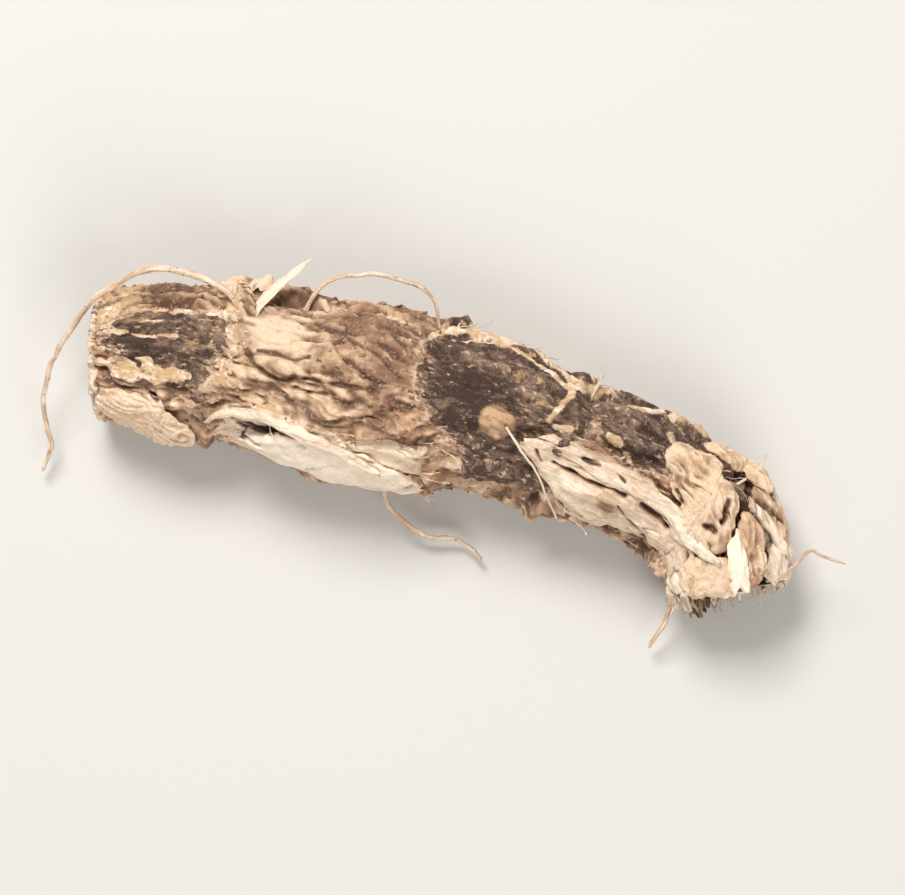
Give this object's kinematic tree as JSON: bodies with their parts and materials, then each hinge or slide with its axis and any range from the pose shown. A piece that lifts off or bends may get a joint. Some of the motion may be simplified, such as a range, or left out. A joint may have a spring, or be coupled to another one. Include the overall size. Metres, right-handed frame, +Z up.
{
  "type": "dried angelica root piece",
  "caption": "Bent piece of dried split root with wrinkled bark, a peeled side, a cut end, a torn end and thin rootlets, resting on its split face.",
  "frame": {"origin": "a point on the small flat spot of the split face that the root rests on", "axes": "+X along the chord of the bend from the cut end to the torn end, +Y towards the outside of the bend, +Z up through the bark"},
  "size_m": [0.0484, 0.0178, 0.0076],
  "materials": {
    "dried_root": "matte"
  },
  "bodies": {
    "root": {"root_piece": "dried_root"}
  },
  "joints": []
}
